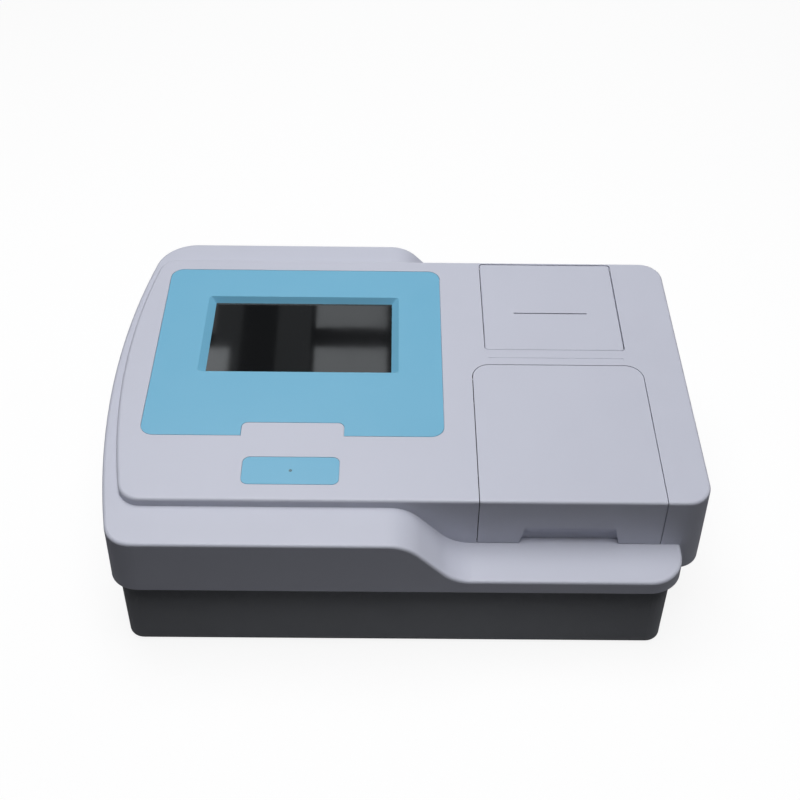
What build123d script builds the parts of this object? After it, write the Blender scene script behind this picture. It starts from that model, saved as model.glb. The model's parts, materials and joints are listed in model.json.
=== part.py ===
"""Absorbance microplate reader with touch screen, plate door and receipt printer.

Millimetres. +X is the right-hand side, +Y the back, +Z up. The origin is the centre of the
bounding box on the surface that the rubber feet stand on.
"""

from build123d import *
import math
import os

# ---------------------------------------------------------------- driving dimensions
# Housing
body_width = 477.6        # bowed left side to right wall, at the cover's lower edge
body_depth = 346.5        # shoulder front to shoulder back, at the cover's lower edge
foot_height = 2.5
cover_bottom = 65.5       # height of the cover's lower edge
cover_wall = 3.0
cover_draft = 1.2         # degrees, all cover walls lean inwards going up
edge_round = 2.5          # rounding of the cover's upper edges
deck_front_height = 127.1 # height of the deck along its front edge
deck_tilt = 7.0           # degrees, the deck rises to the back
front_step = 36.0         # shoulder front to deck front
back_step = 30.5          # deck back to shoulder back
left_step = 8.5           # shoulder side to deck side at the widest point
ledge_inset = 20.5        # right wall to the right end of the ledge
plateau_corners = (20.0, 21.0, 21.0, 18.0)    # front-left, front-right, back-right, back-left
shoulder_corners = (25.0, 28.0, 28.0, 38.0)
bow_radius = 600.0        # bow of the left side in plan
bow_centre = 13.5         # Y of the widest point of the bow
shoulder_drop = 6.6       # deck down to the shoulder, square to the deck
ledge_drop = 43.0         # deck down to the ledge in front of the door
sweep_start = 5.5         # X where the shoulder starts to curve down to the ledge
sweep_radius = 32.0       # radius of both bends of that curve
sweep_slope = 45.0        # degrees, steepest part of that curve

# Base tray
base_wall = 3.0
base_draft = 1.8
base_front_inset = 6.5
base_back_inset = 8.0
base_left_inset = 12.5
base_right_inset = 25.5
base_bow_radius = 1200.0
base_corner = 15.0
chassis_thickness = 2.5
foot_diameter = 18.0

# Screen; V is measured up the deck from its front edge
bezel_left_strip = 25.3   # deck's left side at its widest to the bezel
bezel_door_strip = 25.35  # bezel to the plate door
bezel_near = 65.0
bezel_back_strip = 14.5   # bezel to the deck's rear edge
bezel_thickness = 1.6
bezel_corner = 10.5
bezel_gap = 0.4
notch_offset = 0.3        # middle of the notch from the bezel's middle
bezel_notch_width = 81.7
bezel_notch_depth = 13.9
bezel_notch_corner = 5.0
screen_offset = 0.45      # middle of the screen from the bezel's middle
screen_back_strip = 82.3  # middle of the screen from the bezel's far edge
screen_width = 155.0      # visible window of the touch screen
screen_length = 86.0
screen_depth = 5.0        # window below the deck
screen_bevel = 6.0        # bevel of the recess around the window
panel_margin = 5.0        # touch panel beyond the window on every side
touch_thickness = 1.8
lcd_thickness = 6.0

# Status plate
status_offset = 1.25      # middle of the plate from the bezel's middle
status_v = 29.2
status_width = 74.6
status_length = 26.9
status_corner = 5.5
status_thickness = 1.2
led_diameter = 2.6

# Plate door
door_right_strip = 36.65  # door to the right wall, at the cover's lower edge
door_width = 141.5
door_share = 0.523        # door length as a share of the deck length
door_corner = 14.5
door_gap = 0.7
ledge_gap = 0.4           # door to the ledge
door_hinge_depth = 3.0    # hinge axis below the deck, in line with the corners' centres
scoop_width = 77.0        # finger scoop in the door's lower edge
scoop_slant = 4.0         # each end leans in by this going up
scoop_height = 16.5
scoop_depth = 4.4
scoop_wall = 2.0          # door behind the scoop
groove_from_door = 7.8    # shallow groove across the strip behind the door
groove_length = 114.0
groove_width = 2.0
groove_depth = 0.25

# Printer lid
lid_width = 118.0
door_to_lid = 18.7        # strip of cover between door and lid
lid_back_strip = 3.6      # strip of cover behind the lid
lid_corner = 2.5
lid_gap = 0.6
lid_hinge_depth = 2.5     # hinge axis below the deck
lid_hinge_back = 4.0      # hinge axis from the lid's rear edge
slit_width = 64.0
slit_length = 1.2
slit_from_near = 45.4     # slit from the lid's near edge

# Hinge pins of door and lid
pin_diameter = 2.0
pin_engagement = 5.0      # length of pin held in its boss
pin_clearance = 0.06

# Reading chamber and plate carriage
plate_length = 127.76     # microplate footprint
plate_width = 85.48
plate_clearance = 0.6     # nest beyond the footprint, all round
chamber_half_width = 72.0
chamber_wall = 2.5
chamber_ceiling = 31.0    # chamber ceiling above the chassis plate
carriage_end = 6.12       # carriage beyond the plate at each end
carriage_side = 16.26     # carriage beyond the plate on each side
carriage_floor = 3.0
nest_depth = 8.0
carriage_start = 1.5      # carriage to the chamber's front wall
carriage_end_room = 3.0   # carriage at full travel to the chamber's back wall
scan_overrun = 2.0        # travel beyond the last plate column
pusher_length = 12.0
pusher_width = 12.0
pusher_travel = 3.0
rail_diameter = 8.0
rail_spacing = 84.0
rail_height = 7.5         # rail axis above the chassis plate
bush_wall = 1.5
pulley_teeth = 20
belt_pitch = 2.0
belt_width = 6.0
belt_thickness = 1.4
motor_size = 28.0
motor_length = 32.0
motor_back_room = 4.0     # motor to the chamber's back wall
belt_x = 59.0             # belt centre from the door's centre
lens_count = 8            # rows of a plate, read together
column_count = 12
lens_pitch = 9.0          # pitch of the wells
lens_diameter = 6.0

# Light source
wheel_diameter = 52.0
wheel_thickness = 4.0
filter_count = 8
filter_diameter = 10.0
filter_rim = 3.0          # wheel rim outside the filters
lamp_axis_height = 35.5
wheel_x = 18.0

# Printer
roll_diameter = 36.0
roll_width = 57.0
platen_diameter = 12.0
gear_module = 0.8
platen_teeth = 22
idler_teeth = 20
pinion_teeth = 12
gear_width = 4.0
gear_backlash = 0.2       # extra centre distance

# Rear panel and what it carries
rear_left_inset = 43.8    # left side at its widest to the panel's left end
rear_low = 12.0
rear_high = 59.0
rear_thickness = 1.5
fan_size = 40.0
fan_depth = 10.0
inlet_along = 30.0        # places along the panel from its left end
rocker_along = 77.0
fan_along = 175.0
ports_along = 240.0
rear_length = 315.0

# Electronics on the base tray
psu_width = 100.0
psu_length = 120.0
psu_height = 38.0
psu_left = -175.0
psu_near = 0.0
board_width = 160.0
board_length = 110.0
board_left = -180.0
board_near = -140.0
board_thickness = 1.6
post_height = 4.0         # posts that both stand on
post_diameter = 7.0
vent_count = 12
vent_length = 60.0
vent_width = 4.0
vent_pitch = 9.0
cable_hole_width = 90.0   # hole in the chassis plate for the cables to the screen
cable_hole_length = 80.0

# Lamp unit
lamp_house_length = 44.0
lamp_house_width = 34.0
lamp_house_height = 28.0
lamp_wall = 3.0
fin_count = 6
fin_length = 5.0

# Clearances
shaft_clearance = 0.06
seat_clearance = 0.3

# ---------------------------------------------------------------- derived values
half_width = body_width / 2
half_depth = body_depth / 2
tilt = math.radians(deck_tilt)
draft_run = math.tan(math.radians(cover_draft))
deck_front_y = -half_depth + front_step + draft_run * (deck_front_height - cover_bottom)
deck_back_y = half_depth - back_step - draft_run * (deck_front_height - cover_bottom)
deck_length = (deck_back_y - deck_front_y) / (math.cos(tilt) + draft_run * math.sin(tilt))
door_x = half_width - door_right_strip - door_width / 2
door_length = door_share * deck_length
lid_near = door_length + door_to_lid
lid_length = deck_length - lid_back_strip - lid_near
slit_v = lid_near + slit_from_near
bezel_left = -half_width + left_step + bezel_left_strip
bezel_right = door_x - door_width / 2 - bezel_door_strip
bezel_far = deck_length - bezel_back_strip
bezel_x = (bezel_left + bezel_right) / 2
screen_x = bezel_x + screen_offset
screen_v = bezel_far - screen_back_strip
status_x = bezel_x + status_offset
rear_left = -half_width + rear_left_inset
rear_right = rear_left + rear_length
inlet_x = rear_left + inlet_along
rocker_x = rear_left + rocker_along
fan_x = rear_left + fan_along
ports_x = rear_left + ports_along
carriage_length = plate_length + 2 * carriage_end
carriage_width = plate_width + 2 * carriage_side
big = 3 * body_width
chassis_top = cover_bottom + chassis_thickness
base_floor = foot_height + base_wall

DECK = Plane(
    origin=(0, deck_front_y, deck_front_height),
    x_dir=(1, 0, 0),
    z_dir=(0, -math.sin(tilt), math.cos(tilt)),
)
DECK_PROFILE = Plane(
    origin=DECK.origin,
    x_dir=(1, 0, 0),
    z_dir=(0, -math.cos(tilt), -math.sin(tilt)),
)


def deck_y(v):
    """Y of a point on the deck at distance v from its front edge."""
    return deck_front_y + v * math.cos(tilt)


# ---------------------------------------------------------------- helpers
def block(x0, x1, y0, y1, z0, z1):
    """Box between two corners."""
    return Pos((x0 + x1) / 2, (y0 + y1) / 2, (z0 + z1) / 2) * Box(x1 - x0, y1 - y0, z1 - z0)


def rod_x(x0, x1, y, z, diameter):
    """Cylinder along X."""
    return Pos((x0 + x1) / 2, y, z) * Rot(0, 90, 0) * Cylinder(diameter / 2, x1 - x0)


def rod_y(y0, y1, x, z, diameter):
    """Cylinder along Y."""
    return Pos(x, (y0 + y1) / 2, z) * Rot(90, 0, 0) * Cylinder(diameter / 2, y1 - y0)


def rod_z(z0, z1, x, y, diameter):
    """Cylinder along Z."""
    return Pos(x, y, (z0 + z1) / 2) * Cylinder(diameter / 2, z1 - z0)


def deck_slab(x0, x1, v0, v1, top, bottom, radius=0.0):
    """Plate parallel to the deck, between two depths below it, with rounded corners."""
    outline = Pos((x0 + x1) / 2, (v0 + v1) / 2) * Rectangle(x1 - x0, v1 - v0)
    if radius > 0:
        outline = fillet(outline.vertices(), radius)
    return extrude(DECK.offset(-bottom) * outline, amount=bottom - top)


def below_deck(drop):
    """Everything below a plane parallel to the deck."""
    return DECK.offset(-drop) * Box(big, big, big, align=(Align.CENTER, Align.CENTER, Align.MAX))


def on_deck(x, v, drop):
    """Point at deck coordinates, drop below the deck."""
    return DECK.from_local_coords(Vector(x, v, -drop))


def bowed_outline(left, right, front, back, bow, corners):
    """Plan with a bowed left side; corners are front-left, front-right, back-right, back-left."""
    def side_x(y):
        return left + bow - math.sqrt(bow ** 2 - (y - bow_centre) ** 2)

    points = [(side_x(front), front), (right, front), (right, back), (side_x(back), back)]
    edges = Polyline(*points) + ThreePointArc(points[3], (left, bow_centre), points[0])
    face = make_face(edges)
    for point, radius in zip(points, corners):
        corner = face.vertices().sort_by_distance(Vector(point[0], point[1], 0))[0]
        face = fillet(corner, radius)
    return face


def top_edges(solid):
    """Edges between the upward faces and the walls."""
    upward = [f for f in solid.faces() if f.normal_at(f.center()).Z > 0.3]
    seen = []
    for face in upward:
        for edge in face.edges():
            shared = sum(1 for other in upward for e in other.edges() if e.is_same(edge))
            if shared == 1:
                seen.append(edge)
    return ShapeList(seen)


def spur_gear(teeth, width, bore):
    """Spur gear about Z, from width/2 below to width/2 above its middle."""
    pitch_radius = gear_module * teeth / 2
    tip, root = pitch_radius + gear_module, pitch_radius - 1.2 * gear_module
    blank = Circle(root)
    half_pitch_angle = math.pi / (2 * teeth)
    flank = [(root - 0.3, 1.25), (pitch_radius, 0.86), (tip, 0.4)]
    right_side = [(r, k * half_pitch_angle) for r, k in flank]
    left_side = [(r, -a) for r, a in reversed(right_side)]
    tooth_points = [(r * math.cos(a), r * math.sin(a)) for r, a in right_side + left_side]
    tooth = make_face(Polyline(*tooth_points, close=True))
    for i in range(teeth):
        blank += Rot(0, 0, 360 * i / teeth) * tooth
    blank -= Circle(bore / 2)
    return Pos(0, 0, -width / 2) * extrude(blank, amount=width)


# ---------------------------------------------------------------- housing
def plateau_plan():
    return bowed_outline(
        -half_width + left_step, half_width, -half_depth + front_step,
        half_depth - back_step, bow_radius, plateau_corners,
    )


def shoulder_plan():
    return bowed_outline(
        -half_width, half_width - ledge_inset, -half_depth, half_depth, bow_radius,
        shoulder_corners,
    )


def sweep_profile(extra_drop):
    """Section of the shoulder: level, two bends down to the ledge, level again."""
    fall = ledge_drop - shoulder_drop
    bend = sweep_radius * math.tan(math.radians(sweep_slope / 2))
    first = sweep_start
    second = first + fall / math.tan(math.radians(sweep_slope))
    high, low = -shoulder_drop - extra_drop, -ledge_drop - extra_drop
    first -= extra_drop * math.tan(math.radians(sweep_slope / 2))
    second -= extra_drop * math.tan(math.radians(sweep_slope / 2))
    assert second - first > 2 * bend * math.cos(math.radians(sweep_slope))
    line = FilletPolyline(
        (-big, high), (first, high), (second, low), (big, low), radius=sweep_radius
    )
    sides = Polyline((-big, high), (-big, -big), (big, -big), (big, low))
    return make_face(line + sides)


def housing_solid(inset, rounding):
    """The cover as a solid; inset shrinks it evenly to give the inside of the shell."""
    height = body_depth
    plateau_face, shoulder_face = plateau_plan(), shoulder_plan()
    if inset > 0:
        plateau_face = offset(plateau_face, -inset)
        shoulder_face = offset(shoulder_face, -inset)
    floor = Pos(0, 0, cover_bottom)
    plateau = extrude(floor * plateau_face, amount=height, taper=cover_draft) & below_deck(inset)
    shoulder = extrude(floor * shoulder_face, amount=height, taper=cover_draft)
    shoulder &= extrude(DECK_PROFILE * sweep_profile(inset), amount=big, both=True)
    if rounding > 0:
        shoulder = fillet(top_edges(shoulder), rounding)
        plateau = fillet(top_edges(plateau), rounding)
    return plateau + shoulder


def door_region(gap):
    """Space of the door: a slot through deck and front wall down to the ledge."""
    x0, x1 = door_x - door_width / 2 - gap, door_x + door_width / 2 + gap
    far = door_length + gap
    outline = Pos(door_x, far / 2 - front_step) * Rectangle(x1 - x0, far + 2 * front_step)
    far_corners = outline.vertices().group_by(Axis.Y)[-1]
    outline = fillet(far_corners, door_corner + gap)
    return extrude(DECK.offset(-ledge_drop) * outline, amount=ledge_drop + 5)


def lid_region(gap):
    """Space of the printer lid through the deck."""
    return deck_slab(
        door_x - lid_width / 2 - gap, door_x + lid_width / 2 + gap,
        lid_near - gap, lid_near + lid_length + gap, -1, cover_wall + 1, lid_corner + gap,
    )


def door_hinge_point(x=0.0):
    return on_deck(x, door_length - door_corner, door_hinge_depth)


def lid_hinge_point(x=0.0):
    return on_deck(x, lid_near + lid_length - lid_hinge_back, lid_hinge_depth)


def hinge_bosses(half_opening, point, depth):
    """Bosses under the deck, one each side, that hold the hinge pins."""
    lug_width, lug_height, half_length = pin_engagement + 2, 2 * depth + 1.5, depth + 1.5
    bosses = Part()
    for side in (-1, 1):
        x_near = door_x + side * half_opening
        x_far = x_near + side * lug_width
        x0, x1 = min(x_near, x_far), max(x_near, x_far)
        lug = block(
            x0, x1, point.Y - half_length, point.Y + half_length,
            point.Z - lug_height, point.Z + lug_height,
        )
        bosses += lug & below_deck(0.5)
    return bosses


def boss_points():
    """Cover screw posts, clear of chamber, bay and screen."""
    left, right = -half_width + 38, door_x + door_width / 2 + 17
    front, back = -half_depth + 50, half_depth - 45
    middle = door_x - door_width / 2 - 18
    return [(left + 8, front), (left + 8, back), (middle, front), (middle, back), (right, back)]


def cover_posts():
    posts = Part()
    for x, y in boss_points():
        posts += rod_z(chassis_top, deck_front_height + body_depth, x, y, 9)
    return posts


def build_top_cover():
    outer = housing_solid(0, edge_round)
    inner = housing_solid(cover_wall, 0)
    cover = outer - inner
    cover += cover_posts() & inner
    door_half, lid_half = door_width / 2 + door_gap, lid_width / 2 + lid_gap
    cover += hinge_bosses(door_half, door_hinge_point(), door_hinge_depth)
    cover += hinge_bosses(lid_half, lid_hinge_point(), lid_hinge_depth)
    cover -= hinge_pins(door_hinge_point(), door_width, door_gap, 0.01)
    cover -= hinge_pins(lid_hinge_point(), lid_width, lid_gap, 0.01)
    cover -= door_region(door_gap)
    cover -= lid_region(lid_gap)
    cover += scoop_floor()
    groove_v = door_length + groove_from_door
    cover -= deck_slab(
        door_x - groove_length / 2, door_x + groove_length / 2, groove_v - groove_width / 2,
        groove_v + groove_width / 2, -1, groove_depth,
    )
    cover -= deck_slab(
        bezel_left - bezel_gap, bezel_right + bezel_gap, bezel_near - bezel_gap,
        bezel_far + bezel_gap, -1, bezel_thickness, bezel_corner + bezel_gap,
    ) - notch_tongue(bezel_gap)
    half_w, half_l = screen_width / 2 + panel_margin + 5, screen_length / 2 + panel_margin + 5
    cover -= deck_slab(
        screen_x - half_w, screen_x + half_w, screen_v - half_l, screen_v + half_l, -1,
        cover_wall + 1, 4,
    )
    cover -= status_slab(0.4, -1, status_thickness)
    led = DECK * Pos(status_x, status_v, -cover_wall / 2) * Cylinder(led_diameter / 2 + 0.3, 2 * cover_wall)
    cover -= led
    for x, y in boss_points():
        cover -= rod_z(chassis_top - 1, chassis_top + 12, x, y, 2.6)
    for dx, dv in screen_screw_points():
        cover += DECK * Pos(screen_x + dx, screen_v + dv, -cover_wall - screen_post_length() / 2) * Cylinder(
            4, screen_post_length() + 1
        )
    return cover, outer


def scoop_floor():
    """The ledge runs on under the finger scoop."""
    half = scoop_width / 2 + scoop_wall
    strip = block(
        door_x - half, door_x + half, deck_front_y + 1, deck_front_y + scoop_depth + 1.6,
        cover_bottom, deck_front_height,
    )
    return (strip & below_deck(ledge_drop)) - below_deck(ledge_drop + cover_wall - 0.8)


def screen_screw_points():
    """Screen bracket posts about the screen centre."""
    dx, dv = screen_width / 2 + panel_margin + 11, screen_length / 2 - 8
    return [(sx * dx, sv * dv) for sx in (-1, 1) for sv in (-1, 1)]


def screen_post_length():
    """Posts reach from the underside of the deck to the bracket."""
    return screen_depth + 0.2 + touch_thickness + lcd_thickness - cover_wall


def notch_tongue(gap):
    """Tongue of the cover that enters the notch in the bezel's near edge."""
    return deck_slab(
        bezel_x + notch_offset - bezel_notch_width / 2 + gap,
        bezel_x + notch_offset + bezel_notch_width / 2 - gap, bezel_near - 2 * bezel_notch_depth,
        bezel_near + bezel_notch_depth - gap, -2, bezel_thickness + 1, bezel_notch_corner - gap,
    )


def build_screen_bezel():
    plate = deck_slab(
        bezel_left, bezel_right, bezel_near, bezel_far, 0, bezel_thickness, bezel_corner
    )
    plate -= notch_tongue(0)
    wall = 1.6
    outline = Rectangle(screen_width, screen_length)
    mouth = Rectangle(screen_width + 2 * screen_bevel, screen_length + 2 * screen_bevel * 0.6)
    centre = Pos(screen_x, screen_v)
    low, high = DECK.offset(-screen_depth), DECK.offset(0)
    inner = loft([low * centre * outline, high * centre * fillet(mouth.vertices(), 2)])
    outer = loft([
        low * centre * offset(outline, wall),
        high * centre * offset(mouth, wall),
    ])
    return plate + outer - inner


def status_slab(gap, top, bottom):
    return deck_slab(
        status_x - status_width / 2 - gap, status_x + status_width / 2 + gap,
        status_v - status_length / 2 - gap, status_v + status_length / 2 + gap,
        top, bottom, status_corner + gap,
    )


def build_status_plate():
    hole = DECK * Pos(status_x, status_v) * Cylinder(led_diameter / 2 + 0.05, 10)
    return status_slab(0, 0, status_thickness) - hole


def build_status_led():
    body = DECK * Pos(status_x, status_v, -0.1 - 4.5) * Cylinder(led_diameter / 2, 9)
    board = deck_slab(
        status_x - 16, status_x + 16, status_v - 9, status_v + 9, cover_wall + 3.5, cover_wall + 5.1
    )
    spacers = Part()
    for dx in (-12, 12):
        spacers += DECK * Pos(status_x + dx, status_v, -cover_wall - 1.75) * Cylinder(2, 3.5)
    return body + board + spacers


def screen_stack(top, bottom, margin, radius):
    half_w, half_l = screen_width / 2 + margin, screen_length / 2 + margin
    return deck_slab(
        screen_x - half_w, screen_x + half_w, screen_v - half_l, screen_v + half_l, top, bottom, radius
    )


def build_touch_panel():
    return screen_stack(screen_depth, screen_depth + touch_thickness, panel_margin, 2)


def build_lcd_module():
    top = screen_depth + touch_thickness
    return screen_stack(top, top + lcd_thickness, panel_margin, 1)


def build_screen_bracket():
    top = cover_wall + screen_post_length() + 0.5
    half_w, half_l = screen_width / 2 + panel_margin + 16, screen_length / 2 - 1
    frame = deck_slab(
        screen_x - half_w, screen_x + half_w, screen_v - half_l, screen_v + half_l, top, top + 1.5, 3
    )
    frame -= screen_stack(top - 1, top + 3, -14, 4)
    for dx, dv in screen_screw_points():
        frame -= DECK * Pos(screen_x + dx, screen_v + dv, -top) * Cylinder(1.6, 10)
    return frame


# ---------------------------------------------------------------- door and lid
def build_plate_door(outer):
    thickness = cover_wall - seat_clearance
    skin = outer - housing_solid(thickness, 0)
    door = skin & door_region(0)
    door += scoop_block(scoop_wall) & door_region(0)
    door -= scoop_cutter()
    door -= DECK.offset(-ledge_drop) * Box(big, big, 2 * ledge_gap)
    ribs = Part()
    for dx in (-0.36, 0.36):
        ribs += deck_slab(
            door_x + dx * door_width - 1, door_x + dx * door_width + 1, 8, door_length - 14,
            thickness - 0.4, thickness + 2.5,
        )
    door += ribs
    door += hinge_eyes(door_hinge_point(), door_hinge_depth, door_width)
    return door - hinge_holes(door_hinge_point(), door_width)


def scoop_block(wall):
    """Thickening behind the finger scoop."""
    half = scoop_width / 2 + wall
    low = deck_front_height - ledge_drop - cover_wall
    return block(
        door_x - half, door_x + half, deck_front_y + 1, deck_front_y + scoop_depth + wall,
        low, low + cover_wall + scoop_height + wall,
    )


def scoop_cutter():
    """Hollow of the finger scoop: it blends into the front wall at its top."""
    low = deck_front_height - ledge_drop - 2 * cover_wall
    top = deck_front_height - ledge_drop + scoop_height
    deep = deck_front_y + scoop_depth
    bend = Spline(
        (deck_front_y, top), (deep, top - 0.7 * scoop_height), tangents=((0, -1), (0, -1))
    )
    rest = Polyline(
        (deep, top - 0.7 * scoop_height), (deep, low), (deck_front_y - 9, low),
        (deck_front_y - 9, top), (deck_front_y, top),
    )
    hollow = extrude(Plane.YZ * make_face(bend + rest), amount=scoop_width, both=True)
    wide, narrow = scoop_width / 2, scoop_width / 2 - scoop_slant
    front = Plane.XZ * make_face(Polyline(
        (-wide, low), (wide, low), (wide, top - scoop_height), (narrow, top), (-narrow, top),
        (-wide, top - scoop_height), close=True,
    ))
    return Pos(door_x, 0, 0) * (hollow & extrude(front, amount=half_depth))


def hinge_eyes(point, depth, width):
    """Hinge eyes under both sides of a flap."""
    eyes = Part()
    for side in (-1, 1):
        x_mid = door_x + side * (width / 2 - 13)
        eyes += rod_x(x_mid - 5, x_mid + 5, point.Y, point.Z, 2 * depth - 0.8)
    return eyes


def hinge_holes(point, width):
    """Clearance holes for both pins."""
    holes = Part()
    for side in (-1, 1):
        x_mid = door_x + side * (width / 2 - 7)
        holes += rod_x(x_mid - 15, x_mid + 15, point.Y, point.Z, pin_diameter + 2 * pin_clearance)
    return holes


def hinge_pins(point, width, gap, fit=0.0):
    """Pins from the bosses into the eyes of a flap; fit widens them to cut their seats."""
    pins = Part()
    for side in (-1, 1):
        x_out = door_x + side * (width / 2 + gap + pin_engagement + fit)
        x_in = door_x + side * (width / 2 - 17)
        x0, x1 = min(x_in, x_out), max(x_in, x_out)
        pins += rod_x(x0, x1, point.Y, point.Z, pin_diameter + 2 * fit)
    return pins


def build_printer_lid():
    thickness = cover_wall - seat_clearance
    lid = deck_slab(
        door_x - lid_width / 2, door_x + lid_width / 2, lid_near, lid_near + lid_length,
        0, thickness, lid_corner,
    )
    rear = lid.edges().filter_by(Axis.X).sort_by(Axis.Z)[-1]
    lid = fillet(rear, 1.2)
    lid -= deck_slab(
        door_x - slit_width / 2, door_x + slit_width / 2, slit_v - slit_length / 2,
        slit_v + slit_length / 2, -1, thickness + 1,
    )
    for dx in (-0.3, 0.3):
        lid += deck_slab(
            door_x + dx * lid_width - 1, door_x + dx * lid_width + 1, lid_near + 6,
            lid_near + 34, thickness - 0.4, thickness + 2,
        )
    lid += hinge_eyes(lid_hinge_point(), lid_hinge_depth, lid_width)
    return lid - hinge_holes(lid_hinge_point(), lid_width)


# ---------------------------------------------------------------- base
def base_plan(grow):
    return bowed_outline(
        -half_width + base_left_inset - grow, half_width - base_right_inset + grow,
        -half_depth + base_front_inset - grow, half_depth - base_back_inset + grow,
        base_bow_radius, [base_corner + grow] * 4,
    )


def base_back_y():
    return half_depth - base_back_inset


def base_mounts():
    """Floor posts: power supply, main board and lamp unit stand on them."""
    posts = []
    for x0, x1, y0, y1 in (psu_footprint(), board_footprint()):
        posts += [(x, y) for x in (x0 + 5, x1 - 5) for y in (y0 + 5, y1 - 5)]
    return posts


def build_base_tray():
    height = cover_bottom - foot_height
    shrink = height * math.tan(math.radians(base_draft))
    outer = extrude(Pos(0, 0, foot_height) * base_plan(-shrink), amount=height, taper=-base_draft)
    low_edges = outer.edges().group_by(Axis.Z)[0]
    outer = fillet(low_edges, 2.5)
    inner = extrude(
        Pos(0, 0, base_floor) * base_plan(-shrink - base_wall), amount=height, taper=-base_draft
    )
    tray = outer - inner
    back = base_back_y()
    tray += block(
        rear_left - 5, rear_right + 5, back - 9, back - 0.5, rear_low - 5, cover_bottom
    ) & (outer + Pos(0, 4, 0) * outer)
    tray -= block(rear_left, rear_right, back - 6, back + 5, rear_low, rear_high)
    tray -= block(rear_left + 3, rear_right - 3, back - 20, back + 5, rear_low + 3, rear_high - 3)
    for x, y in base_mounts():
        tray += rod_z(base_floor - 0.5, base_floor + post_height, x, y, post_diameter)
        tray -= rod_z(base_floor + 0.5, base_floor + post_height + 1, x, y, 2.6)
    for i in range(vent_count):
        x = door_x + (i - vent_count / 2) * vent_pitch
        tray -= block(
            x, x + vent_width, -vent_length / 2, vent_length / 2, foot_height - 1, base_floor + 1
        )
    return tray


def build_rubber_feet():
    feet = Part()
    for x in (-half_width + base_left_inset + 45, half_width - base_right_inset - 30):
        for y in (-half_depth + base_front_inset + 30, half_depth - base_back_inset - 30):
            foot = rod_z(0, foot_height, x, y, foot_diameter)
            feet += fillet(foot.edges().group_by(Axis.Z)[0], 0.8)
    return feet


def build_chassis_plate():
    inset = cover_wall + 0.4
    plan = offset(shoulder_plan(), -inset) + offset(plateau_plan(), -inset)
    plate = extrude(Pos(0, 0, cover_bottom) * plan, amount=chassis_thickness)
    for x, y in boss_points():
        plate -= rod_z(cover_bottom - 1, chassis_top + 1, x, y, 3.4)
    plate -= rod_z(cover_bottom - 1, chassis_top + 1, motor_x(), motor_y(), 12)
    plate -= rod_z(cover_bottom - 1, chassis_top + 1, door_x, read_line(), fibre_diameter() + 1)
    x0, x1 = bezel_x - cable_hole_width / 2, bezel_x + cable_hole_width / 2
    plate -= block(
        x0, x1, -cable_hole_length / 2, cable_hole_length / 2, cover_bottom - 1, chassis_top + 1
    )
    return plate


def build_cover_screws():
    screws = Part()
    for x, y in boss_points():
        screws += rod_z(cover_bottom - 2.2, cover_bottom, x, y, 5.6)
        screws += rod_z(cover_bottom - 0.1, chassis_top + 10, x, y, 2.6)
    return screws


# ---------------------------------------------------------------- reading chamber
def chamber_front():
    """Y of the outer face of the chamber's sill, behind the door flap."""
    return -half_depth + front_step + cover_wall + 1.5


def carriage_travel():
    """Brings every plate column over the read line."""
    middle = carriage_y0() + carriage_length / 2
    return read_line() - middle + (column_count - 1) * lens_pitch / 2 + scan_overrun


def chamber_back():
    reach = carriage_y0() + carriage_length + carriage_travel()
    return reach + carriage_end_room + chamber_wall


def build_chamber_housing():
    front, back = chamber_front(), chamber_back()
    half = chamber_half_width + chamber_wall
    ceiling = chassis_top + chamber_ceiling
    step_y = deck_y(door_length) - 8
    body = block(door_x - half, door_x + half, front, back, chassis_top, ceiling)
    body += block(door_x - half, door_x + half, front, step_y, chassis_top, deck_front_height + body_depth)
    body -= block(
        door_x - chamber_half_width, door_x + chamber_half_width, front + chamber_wall,
        back - chamber_wall, chassis_top - 1, deck_front_height + body_depth,
    )
    for side in (-1, 1):
        x_wall = door_x + side * chamber_half_width
        x_seat = x_wall - side * 6
        body += block(
            min(x_wall, x_seat), max(x_wall, x_seat), front + 4, front + 24, chassis_top + 30,
            deck_front_height + body_depth,
        )
    hinge = door_hinge_point()
    reach = door_hinge_depth + 2
    body -= block(
        door_x - half - 1, door_x + half + 1, hinge.Y - reach, hinge.Y + reach,
        hinge.Z - 2 * reach, hinge.Z + 2 * reach,
    )
    body &= below_deck(cover_wall)
    sill = deck_front_height - ledge_drop - 2.5
    body -= block(
        door_x - half - 1, door_x + half + 1, front - 1, front + 3.5, sill, deck_front_height + 60
    )
    body -= block(
        door_x - chamber_half_width, door_x + chamber_half_width, front - 1,
        front + chamber_wall + 1, sill, deck_front_height + body_depth,
    )
    return body


def carriage_y0():
    return chamber_front() + chamber_wall + carriage_start


def rail_z():
    return chassis_top + rail_height


def carriage_bottom():
    return rail_z() + rail_diameter / 2 + 0.6


def lug_diameter():
    return rail_diameter + 2 * bush_wall + 2.4


def lug_ys():
    return [carriage_y0() + 14, carriage_y0() + carriage_length - 22]


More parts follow.
